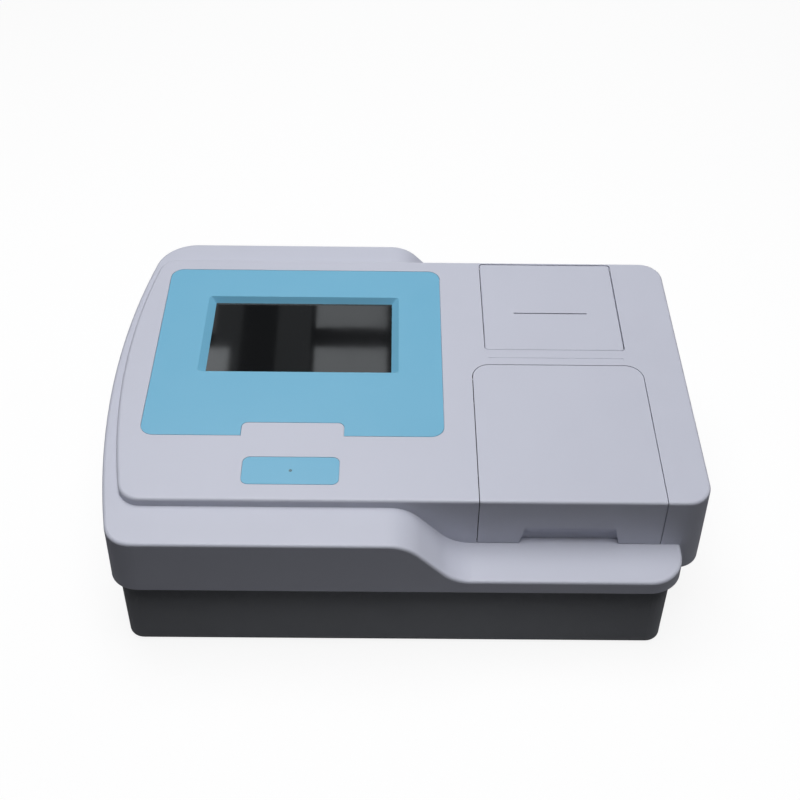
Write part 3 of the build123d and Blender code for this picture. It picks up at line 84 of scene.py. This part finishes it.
# Dim panels at the lamps' height, where the screen glass mirrors them to the camera:
# name, lowest and highest x, lowest and highest y in metres, and radiance
PANEL_COLOUR = (0.95, 1.0, 1.04)
MIRRORED_PANELS = (
    ("panel_far", -0.222, -0.020, 1.522, 1.66, 1.65),
    ("panel_near", -0.222, -0.020, 1.30, 1.450, 1.95),
    ("panel_left", -0.62, -0.458, 1.30, 1.445, 2.5),
    ("panel_left_far", -0.62, -0.505, 1.50, 1.66, 0.75),
    ("panel_haze_left", -0.505, -0.43, 1.30, 1.70, 0.22),
    ("panel_haze_mid", -0.33, -0.235, 1.30, 1.70, 0.22),
)

# Fitted shells, in millimetres. The bow of a side is its radius and the Y of its widest point,
# as the solid has it and as it is shown.
SOLID_BOW = (600.0, 13.5)
SHOWN_BOW = (688.0, 3.0)
WALL_BAND = 5.0           # from the side inwards, moved in full
STEP_BAND = (4.0, 40.0)   # fades out over the first width along the side, the second in front
FRONT_BAND = (-145.0, -160.0)
OVERHANG_FROM = 219.0     # right of the ledge, the cover hangs lower
OVERHANG_DROP = 7.5
SKIRT_LIFT = 2.4          # lower edge of the cover, everywhere else
BASE_SPREAD = 0.027       # outward at the foot, per millimetre below the cover
BASE_TRIM = 2.9           # right wall of the base, inwards
BASE_STILL = (100.0, 80.0)  # half width and half depth of the middle, which stays as it is
BASE_WALL = 20.0          # from a wall of the base inwards, moved in full
RIM_BAND = 0.5            # points this near an end of the box are on its rim

# Floor: what the camera sees, and what other rays meet, from far to near; to other rays the
# near colour is a painted pool of light round the object. The fade is between two distances
# from the centre, in half widths and half depths of the object.
FLOOR_SIZE = 12.0
FLOOR_DROP = 0.0002       # below the feet, so that the two faces don't coincide
FLOOR_GLOW = 1.03
FLOOR_GLOW_SHARE = 0.86   # the rest is lit by the lamps and keeps the shadow
FLOOR_FAR, FLOOR_NEAR = (0.04, 0.04, 0.042), (0.31, 0.31, 0.32)
FLOOR_FADE = (1.75, 0.95)

# World to rays other than the camera's: strength at the horizon and overhead
ROOM_GLOW = (0.015, 0.06)
ROOM_COLOUR = (0.96, 0.98, 1.0, 1)

# Colours, linear
WHITE = (0.585, 0.600, 0.690)
BLUE = (0.184, 0.483, 0.680)
BASE_GREY = (0.28, 0.29, 0.315)
BLACK = (0.014, 0.014, 0.016)
NOISE_MIDDLE = (0.3, 0.7)  # most values of a noise lie between these

# Small fasteners, in millimetres
PANEL_SCREW = (2.6, 1.7)  # radius and height of the head
FAN_SCREW = (2.4, 1.5)
INLET_SCREW = (2.4, 1.0)
PANEL_SCREW_EDGE = (5.5, 4.4)  # from the panel's edges, along x and z
PANEL_SCREW_SHIFT = 20.0  # middle column, from the centre to the left
FAN_SCREW_EDGE = 4.0
INLET_SCREW_EDGE = 5.0
BLADE_SIZE = (2.2, 4.2)   # along x and z
BLADE_DEPTHS = (5.8, 16.5)  # tip and root, behind the inlet's face
BLADE_PLACES = ((-7, -2), (0, 2), (7, -2))  # from the inlet's centre, along x and z
BLADE_ROUNDING = 0.3
SMOOTH_BELOW = 32         # degrees between faces


# ---------------------------------------------------------------- node helpers
def new_material(name):
    """Material with an empty tree but its output and one Principled shader."""
    material = bpy.data.materials.new(name)
    material.use_nodes = True
    tree = material.node_tree
    tree.nodes.clear()
    output = tree.nodes.new("ShaderNodeOutputMaterial")
    shader = tree.nodes.new("ShaderNodeBsdfPrincipled")
    tree.links.new(shader.outputs["BSDF"], output.inputs["Surface"])
    return material, tree, shader


def node(tree, kind, inputs=None, **settings):
    """Adds a node, sets its fields, then its inputs: numbers as values, sockets as links."""
    made = tree.nodes.new(kind)
    for field, value in settings.items():
        setattr(made, field, value)
    for key, value in (inputs or {}).items():
        if isinstance(value, bpy.types.NodeSocket):
            tree.links.new(value, made.inputs[key])
        else:
            made.inputs[key].default_value = value
    return made


def place(tree):
    """Coordinates that ride with the piece, in metres."""
    return tree.nodes.new("ShaderNodeTexCoord").outputs["Object"]


def noise(tree, scale, detail=4.0, stretch=None):
    """Noise factor with so many features a metre, stretched where an axis is scaled below 1."""
    where = place(tree)
    if stretch:
        where = node(tree, "ShaderNodeMapping", {"Vector": where, "Scale": stretch}).outputs[0]
    fields = {"Vector": where, "Scale": scale, "Detail": detail}
    return node(tree, "ShaderNodeTexNoise", fields).outputs["Fac"]


def ramp(tree, factor, low, high, start=0.0, end=1.0):
    """Maps a factor from start..end to low..high."""
    return node(tree, "ShaderNodeMapRange", {
        "Value": factor, "From Min": start, "From Max": end, "To Min": low, "To Max": high,
    }).outputs["Result"]


def mix_colour(tree, factor, first, second):
    """Mix of two colours, each a tuple or a socket."""
    mixer = tree.nodes.new("ShaderNodeMix")
    mixer.data_type = "RGBA"
    tree.links.new(factor, mixer.inputs[0])
    for socket, value in ((mixer.inputs[6], first), (mixer.inputs[7], second)):
        if isinstance(value, bpy.types.NodeSocket):
            tree.links.new(value, socket)
        else:
            socket.default_value = (*value[:3], 1.0)
    return mixer.outputs[2]


def shades(tree, colour, factor, amount):
    """A colour that gets darker and lighter by an amount, along a factor."""
    dark = tuple(c * (1 - amount) for c in colour)
    light = tuple(min(1.0, c * (1 + amount)) for c in colour)
    return mix_colour(tree, factor, dark, light)


def set_roughness(tree, shader, factor, low, high, middle=NOISE_MIDDLE):
    """Roughness from low to high, over the middle of a noise factor."""
    tree.links.new(ramp(tree, factor, low, high, *middle), shader.inputs["Roughness"])


def bump(tree, shader, height, strength, distance):
    """Relief from a height factor, as deep as the distance in metres."""
    bumped = node(tree, "ShaderNodeBump", {"Height": height, "Strength": strength, "Distance": distance})
    tree.links.new(bumped.outputs["Normal"], shader.inputs["Normal"])


# ---------------------------------------------------------------- materials
def moulded_plastic(name, colour, roughness, grain, grain_depth, variation=0.02, specular=0.5, coat=0.0):
    """Injection-moulded plastic: spark-eroded grain, faint flow marks and uneven gloss."""
    material, tree, shader = new_material(name)
    flow = noise(tree, 9.0, 3.0, (1.0, 1.0, 2.5))
    speckle = noise(tree, grain * 0.35, 2.0)
    base = shades(tree, colour, flow, variation)
    light = tuple(min(1.0, c * 1.03) for c in colour)
    tree.links.new(mix_colour(tree, ramp(tree, speckle, 0.0, 0.35, 0.45, 0.8), base, light),
                   shader.inputs["Base Color"])
    set_roughness(tree, shader, noise(tree, 38.0, 5.0), roughness - 0.05, roughness + 0.05)
    fine = noise(tree, grain, 3.0)
    bump(tree, shader, fine, 0.35, grain_depth)
    shader.inputs["Specular IOR Level"].default_value = specular
    shader.inputs["Coat Weight"].default_value = coat
    shader.inputs["Coat Roughness"].default_value = 0.25
    return material


def screen_glass(name):
    """Cover glass over a switched-off display: near black, with faint dust and wiped smudges."""
    material, tree, shader = new_material(name)
    cells = node(tree, "ShaderNodeTexBrick", {
        "Vector": place(tree), "Scale": 900.0, "Mortar Size": 0.05, "Brick Width": 0.5, "Row Height": 0.5,
        "Color1": (0.0065, 0.0072, 0.0080, 1), "Color2": (0.0072, 0.0076, 0.0082, 1),
        "Mortar": (0.0050, 0.0052, 0.0056, 1),
    }, offset=0.0).outputs["Color"]
    dust = ramp(tree, noise(tree, 900.0, 2.0), 0.0, 0.5, 0.66, 0.80)
    tree.links.new(mix_colour(tree, dust, cells, (0.030, 0.031, 0.033)), shader.inputs["Base Color"])
    smudge = noise(tree, 24.0, 6.0, (1.0, 0.5, 1.0))
    set_roughness(tree, shader, smudge, 0.030, 0.065, (0.35, 0.75))
    bump(tree, shader, noise(tree, 60.0, 2.0), 0.02, 0.0002)
    shader.inputs["IOR"].default_value = 1.48
    return material


def brushed_metal(name, colour, roughness, stretch):
    """Metal with fine brushing along one axis, darker pits and uneven sheen."""
    material, tree, shader = new_material(name)
    lines = noise(tree, 420.0, 4.0, stretch)
    cloud = noise(tree, 30.0, 4.0)
    base = shades(tree, colour, lines, 0.10)
    pits = tuple(c * 0.85 for c in colour)
    tree.links.new(mix_colour(tree, ramp(tree, cloud, 0.0, 0.4, 0.4, 0.8), base, pits),
                   shader.inputs["Base Color"])
    set_roughness(tree, shader, lines, roughness - 0.08, roughness + 0.08)
    bump(tree, shader, lines, 0.15, 0.0002)
    shader.inputs["Metallic"].default_value = 1.0
    return material


def rubber_material(name):
    """Matt black rubber with dust in its grain."""
    material, tree, shader = new_material(name)
    fine = noise(tree, 900.0, 3.0)
    dust = noise(tree, 45.0, 5.0)
    base = shades(tree, (0.022, 0.022, 0.023), dust, 0.35)
    tree.links.new(base, shader.inputs["Base Color"])
    set_roughness(tree, shader, dust, 0.62, 0.85)
    bump(tree, shader, fine, 0.4, 0.0004)
    return material


def circuit_board(name):
    """Green solder mask with copper tracks showing through and pale pads."""
    material, tree, shader = new_material(name)
    tracks = node(tree, "ShaderNodeTexBrick", {
        "Vector": place(tree), "Scale": 90.0, "Mortar Size": 0.035, "Brick Width": 0.9, "Row Height": 0.28,
        "Color1": (0.012, 0.085, 0.035, 1), "Color2": (0.016, 0.11, 0.045, 1),
        "Mortar": (0.04, 0.21, 0.09, 1),
    }).outputs["Color"]
    pads = node(tree, "ShaderNodeTexVoronoi", {"Vector": place(tree), "Scale": 320.0}).outputs["Distance"]
    mask = ramp(tree, pads, 1.0, 0.0, 0.10, 0.16)
    tree.links.new(mix_colour(tree, mask, tracks, (0.46, 0.44, 0.36)), shader.inputs["Base Color"])
    set_roughness(tree, shader, noise(tree, 70.0), 0.28, 0.42)
    bump(tree, shader, pads, 0.2, 0.0003)
    return material


def clear_glass(name, colour):
    """Coated optical glass with a faint bloom."""
    material, tree, shader = new_material(name)
    bloom = noise(tree, 120.0, 3.0)
    tree.links.new(shades(tree, colour, bloom, 0.05), shader.inputs["Base Color"])
    set_roughness(tree, shader, bloom, 0.03, 0.08)
    shader.inputs["Transmission Weight"].default_value = 0.85
    shader.inputs["IOR"].default_value = 1.5
    return material


def thermal_paper(name):
    """Paper roll: wound edges show as fine rings round the spindle."""
    material, tree, shader = new_material(name)
    rings = noise(tree, 1400.0, 2.0, (0.02, 1.0, 1.0))
    fibre = noise(tree, 600.0, 4.0)
    tree.links.new(shades(tree, (0.80, 0.80, 0.77), rings, 0.06), shader.inputs["Base Color"])
    set_roughness(tree, shader, fibre, 0.45, 0.6)
    bump(tree, shader, rings, 0.2, 0.0002)
    return material


def make_materials():
    """One finish per material slot of the record."""
    return {
        "white_plastic": moulded_plastic("white_plastic", WHITE, 0.42, 2600.0, 0.00012),
        "base_plastic": moulded_plastic("base_plastic", BASE_GREY, 0.50, 1900.0, 0.0003, 0.05),
        "blue_plastic": moulded_plastic("blue_plastic", BLUE, 0.36, 3200.0, 0.00006, 0.015, 0.45),
        "touch_glass": screen_glass("touch_glass"),
        "black_plastic": moulded_plastic("black_plastic", BLACK, 0.45, 1800.0, 0.0003, 0.12),
        "zinc_steel": brushed_metal("zinc_steel", (0.56, 0.57, 0.58), 0.38, (1.0, 0.04, 0.04)),
        "bright_steel": brushed_metal("bright_steel", (0.68, 0.68, 0.69), 0.20, (1.0, 0.1, 1.0)),
        "motor_steel": moulded_plastic("motor_steel", (0.022, 0.022, 0.026), 0.35, 1200.0, 0.0002, 0.15),
        "aluminium": brushed_metal("aluminium", (0.72, 0.73, 0.74), 0.34, (1.0, 0.05, 1.0)),
        "brass": brushed_metal("brass", (0.62, 0.42, 0.16), 0.25, (1.0, 1.0, 0.1)),
        "rubber": rubber_material("rubber"),
        "green_board": circuit_board("green_board"),
        "led": moulded_plastic("led", (0.07, 0.17, 0.22), 0.20, 500.0, 0.0001, 0.05, 0.6, 0.6),
        "fibre_sheath": rubber_material("fibre_sheath"),
        "lens_glass": clear_glass("lens_glass", (0.85, 0.90, 0.95)),
        "filter_glass": clear_glass("filter_glass", (0.45, 0.20, 0.60)),
        "lamp_glass": clear_glass("lamp_glass", (0.92, 0.92, 0.88)),
        "paper": thermal_paper("paper"),
        "spindle_plastic": moulded_plastic(
            "spindle_plastic", (0.09, 0.095, 0.10), 0.45, 1500.0, 0.0003, 0.08,
        ),
    }


def dress_nodes(materials):
    """Gives each CAD node the finish of its slot."""
    for part in frame["record"]["subparts"]:
        made = NODES[part["node"]]
        for slot in made.material_slots:
            slot.material = materials[part["material_slot"]]


# ---------------------------------------------------------------- fitted shells
def bow_depth(y, bow):
    """How far a bowed side stands in from its widest point."""
    radius, middle = bow
    return radius - math.sqrt(radius ** 2 - (y - middle) ** 2)


def share(value, start, end):
    """Smooth step from 0 at start to 1 at end."""
    t = min(1.0, max(0.0, (value - start) / (end - start)))
    return t * t * (3 - 2 * t)


def shown_cover(x, y, z, low, high):
    """Less bow on the left side, a deeper overhang on the right, the other lower edges raised."""
    side = low[0] + bow_depth(y, SOLID_BOW)
    fade = STEP_BAND[0] + (STEP_BAND[1] - STEP_BAND[0]) * share(y, *FRONT_BAND)
    moved = 1 - share(x - side, WALL_BAND, WALL_BAND + fade)
    x -= moved * (bow_depth(y, SOLID_BOW) - bow_depth(y, SHOWN_BOW))
    if z < low[2] + RIM_BAND:
        z += -OVERHANG_DROP if x > OVERHANG_FROM else SKIRT_LIFT
    return x, y, z


def shown_base(x, y, z, low, high):
    """Steeper walls than the solid's, the right one further in, all reaching up to the cover."""
    spread = BASE_SPREAD * (high[2] - z)
    left = share(-x, BASE_STILL[0], -low[0] - BASE_WALL)
    right = share(x, BASE_STILL[0], high[0] - BASE_WALL)
    front = share(-y, BASE_STILL[1], -low[1] - BASE_WALL)
    back = share(y, BASE_STILL[1], high[1] - BASE_WALL)
    if z > high[2] - RIM_BAND:
        z += SKIRT_LIFT * max(left, right, front, back)
    return x + right * (spread - BASE_TRIM) - left * spread, y - front * spread, z


def fitted_shell(name, move, materials):
    """Stands for a node: its surface, moved point by point to the shown outline."""
    part = next(p for p in frame["record"]["subparts"] if p["node"] == name)
    low, high = ([c / MM for c in corner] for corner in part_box(name))
    data = NODES[name].data.copy()
    for vertex in data.vertices:
        vertex.co = Vector(move(*(vertex.co / MM), low, high)) * MM
    piece = bpy.data.objects.new(name + "_shell", data)
    bpy.context.scene.collection.objects.link(piece)
    data.materials.clear()
    data.materials.append(materials[part["material_slot"]])
    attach(piece, BODY)
    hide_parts(name)


# ---------------------------------------------------------------- small fasteners
def finish_piece(mesh, name, slot, materials):
    """Turns a bmesh into a smooth object that rides on the reader's body."""
    data = bpy.data.meshes.new(name)
    mesh.to_mesh(data)
    mesh.free()
    piece = bpy.data.objects.new(name, data)
    bpy.context.scene.collection.objects.link(piece)
    data.materials.append(materials[slot])
    for face in data.polygons:
        face.use_smooth = True
    data.set_sharp_from_angle(angle=math.radians(SMOOTH_BELOW))
    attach(piece, BODY)


def lathe(mesh, profile, matrix, segments=32):
    """Revolves (radius, height) points about Z and closes both ends."""
    rings = []
    for radius, height in profile:
        ring = []
        for i in range(segments):
            angle = 2 * math.pi * i / segments
            point = Vector((radius * math.cos(angle), radius * math.sin(angle), height))
            ring.append(mesh.verts.new(matrix @ point))
        rings.append(ring)
    for lower, upper in zip(rings, rings[1:]):
        for i in range(segments):
            j = (i + 1) % segments
            mesh.faces.new((lower[i], lower[j], upper[j], upper[i]))
    mesh.faces.new(list(reversed(rings[0])))
    mesh.faces.new(rings[-1])


def cross_recess_screw(mesh, centre, radius, height):
    """Pan-head screw facing +Y: a domed ring round a sunk floor, with four driver wings."""
    facing = Matrix.Translation(centre) @ Matrix.Rotation(math.radians(-90), 4, "X")
    recess = 0.42 * radius
    profile = [
        (radius * 0.98, 0.0), (radius, height * 0.25), (radius * 0.93, height * 0.62),
        (radius * 0.74, height * 0.9), (radius * 0.5, height), (recess, height),
        (recess * 0.9, height * 0.45),
    ]
    lathe(mesh, profile, facing)
    for quarter in range(4):
        turn = facing @ Matrix.Rotation(math.radians(45 + 90 * quarter), 4, "Z")
        wing = bmesh.ops.create_cube(mesh, size=1.0)["verts"]
        shape = Matrix.Diagonal((recess * 0.62, recess * 0.5, height * 0.5, 1.0))
        bmesh.ops.transform(
            mesh, matrix=turn @ Matrix.Translation((recess * 0.72, 0, height * 0.72)) @ shape, verts=wing
        )


def rear_fasteners(materials):
    """Screws round the rear panel, the fan and the inlet."""
    low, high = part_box("rear_panel")
    face = high[1]
    edge_x, edge_z = (c * MM for c in PANEL_SCREW_EDGE)
    middle_column = (low[0] + high[0]) / 2 - PANEL_SCREW_SHIFT * MM
    mesh = bmesh.new()
    for x in (low[0] + edge_x, middle_column, high[0] - edge_x):
        for z in (low[2] + edge_z, high[2] - edge_z):
            cross_recess_screw(mesh, Vector((x, face, z)), *(c * MM for c in PANEL_SCREW))
    fan_low, fan_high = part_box("fan_frame")
    fan_edge = FAN_SCREW_EDGE * MM
    for x in (fan_low[0] + fan_edge, fan_high[0] - fan_edge):
        for z in (fan_low[2] + fan_edge, fan_high[2] - fan_edge):
            cross_recess_screw(mesh, Vector((x, face, z)), *(c * MM for c in FAN_SCREW))
    inlet_low, inlet_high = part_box("mains_inlet")
    inlet_edge = INLET_SCREW_EDGE * MM
    middle = (inlet_low[2] + inlet_high[2]) / 2
    for x in (inlet_low[0] + inlet_edge, inlet_high[0] - inlet_edge):
        cross_recess_screw(mesh, Vector((x, inlet_high[1], middle)), *(c * MM for c in INLET_SCREW))
    finish_piece(mesh, "rear_panel_screws", "bright_steel", materials)


def inlet_contacts(materials):
    """Bright blades over the moulded pins of the mains inlet."""
    low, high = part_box("mains_inlet")
    centre_x, centre_z = (low[0] + high[0]) / 2, (low[2] + high[2]) / 2
    tip, root = (high[1] - depth * MM for depth in BLADE_DEPTHS)
    size = Matrix.Diagonal((BLADE_SIZE[0] * MM, tip - root, BLADE_SIZE[1] * MM, 1.0))
    mesh = bmesh.new()
    for dx, dz in BLADE_PLACES:
        blade = bmesh.ops.create_cube(mesh, size=1.0)["verts"]
        at = Matrix.Translation((centre_x + dx * MM, (tip + root) / 2, centre_z + dz * MM))
        bmesh.ops.transform(mesh, matrix=at @ size, verts=blade)
    bmesh.ops.bevel(mesh, geom=mesh.edges[:], offset=BLADE_ROUNDING * MM, segments=2, affect="EDGES")
    finish_piece(mesh, "inlet_contacts", "bright_steel", materials)


# ---------------------------------------------------------------- stage
def floor_material():
    """Pale floor: near white to the camera with the shadow kept, grey to other rays, with a painted
    pool of light that is paler close to the object, so that the light it sends up falls off with height."""
    material, tree, shader = new_material("studio_floor")
    low, high = CAD_BOX
    reach = [2 / (high[i] - low[i]) for i in (0, 1)]
    spot = node(tree, "ShaderNodeMapping", {"Vector": place(tree), "Scale": (*reach, 0.0)}).outputs[0]
    away = node(tree, "ShaderNodeVectorMath", {0: spot}, operation="LENGTH").outputs["Value"]
    # to rays other than the camera's, a painted pool of light: paler near the object, darker far off
    tree.links.new(mix_colour(tree, ramp(tree, away, 0.0, 1.0, *FLOOR_FADE), FLOOR_FAR, FLOOR_NEAR),
                   shader.inputs["Base Color"])
    shader.inputs["Roughness"].default_value = 0.9
    shader.inputs["Specular IOR Level"].default_value = 0.0
    bright = node(tree, "ShaderNodeBsdfDiffuse", {"Color": (0.95, 0.95, 0.95, 1)})
    glow = node(tree, "ShaderNodeEmission", {"Color": (1, 1, 1, 1), "Strength": FLOOR_GLOW})
    seen = node(tree, "ShaderNodeMixShader", {0: FLOOR_GLOW_SHARE})
    tree.links.new(bright.outputs[0], seen.inputs[1])
    tree.links.new(glow.outputs[0], seen.inputs[2])
    rays = tree.nodes.new("ShaderNodeLightPath")
    choose = tree.nodes.new("ShaderNodeMixShader")
    tree.links.new(rays.outputs["Is Camera Ray"], choose.inputs[0])
    tree.links.new(shader.outputs[0], choose.inputs[1])
    tree.links.new(seen.outputs[0], choose.inputs[2])
    output = next(n for n in tree.nodes if n.type == "OUTPUT_MATERIAL")
    tree.links.new(choose.outputs[0], output.inputs["Surface"])
    return material


def make_floor():
    """The plane that the reader stands on, a hair below its feet."""
    bpy.ops.mesh.primitive_plane_add(size=FLOOR_SIZE, location=(0, 0, -FLOOR_DROP))
    floor = bpy.context.object
    floor.name = "floor"
    floor.data.materials.append(floor_material())


def make_world():
    """White to the camera; to other rays a dim room, brighter overhead."""
    world = bpy.data.worlds.new("studio")
    bpy.context.scene.world = world
    world.use_nodes = True
    tree = world.node_tree
    tree.nodes.clear()
    output = tree.nodes.new("ShaderNodeOutputWorld")
    direction = tree.nodes.new("ShaderNodeTexCoord").outputs["Generated"]
    up = node(tree, "ShaderNodeSeparateXYZ", {"Vector": direction}).outputs["Z"]
    room = ramp(tree, up, *ROOM_GLOW)
    dim = node(tree, "ShaderNodeBackground", {"Color": ROOM_COLOUR, "Strength": room})
    white = node(tree, "ShaderNodeBackground", {"Color": (1, 1, 1, 1), "Strength": 1.0})
    rays = tree.nodes.new("ShaderNodeLightPath")
    choose = tree.nodes.new("ShaderNodeMixShader")
    tree.links.new(rays.outputs["Is Camera Ray"], choose.inputs[0])
    tree.links.new(dim.outputs[0], choose.inputs[1])
    tree.links.new(white.outputs[0], choose.inputs[2])
    tree.links.new(choose.outputs[0], output.inputs["Surface"])


def area_light(name, at, target, size, power, colour):
    """Rectangular lamp facing a target, or straight down without one."""
    data = bpy.data.lights.new(name, "AREA")
    data.shape = "RECTANGLE"
    data.size, data.size_y = size
    data.energy = power
    data.color = colour
    light = bpy.data.objects.new(name, data)
    light.location = at
    light.visible_camera = False
    if target:
        light.rotation_euler = (Vector(target) - Vector(at)).to_track_quat("-Z", "Y").to_euler()
    bpy.context.scene.collection.objects.link(light)


def make_lights():
    """Overhead softbox, a weak key in front, fills at the sides and back, and the panels."""
    for lamp in LAMPS:
        area_light(*lamp)
    for name, x_low, x_high, y_low, y_high, radiance in MIRRORED_PANELS:
        size = (x_high - x_low, y_high - y_low)
        middle = ((x_low + x_high) / 2, (y_low + y_high) / 2, LAMP_HEIGHT)
        power = radiance * math.pi * size[0] * size[1]
        area_light(name, middle, None, size, power, PANEL_COLOUR)


def make_camera():
    """Camera at the measured place, turned by its three angles."""
    data = bpy.data.cameras.new("camera")
    data.sensor_width = 36.0
    data.lens = LENS
    camera = bpy.data.objects.new("camera", data)
    bpy.context.scene.collection.objects.link(camera)
    pitch, yaw, roll = (math.radians(a) for a in (CAMERA_DOWN, CAMERA_YAW, CAMERA_ROLL))
    forward = Vector((math.sin(yaw) * math.cos(pitch), math.cos(yaw) * math.cos(pitch), -math.sin(pitch)))
    right = Vector((math.cos(yaw), -math.sin(yaw), 0))
    up = right.cross(forward)
    turned_right = right * math.cos(roll) + up * math.sin(roll)
    turned_up = up * math.cos(roll) - right * math.sin(roll)
    turn = Matrix((turned_right, turned_up, -forward)).transposed().to_4x4()
    camera.matrix_world = Matrix.Translation(Vector(CAMERA_AT) * MM) @ turn
    bpy.context.scene.camera = camera


# ---------------------------------------------------------------- build
materials = make_materials()
dress_nodes(materials)
fitted_shell("top_cover", shown_cover, materials)
fitted_shell("base_tray", shown_base, materials)
rear_fasteners(materials)
inlet_contacts(materials)
make_floor()
make_world()
make_lights()
make_camera()
bpy.context.scene.view_settings.view_transform = "Standard"
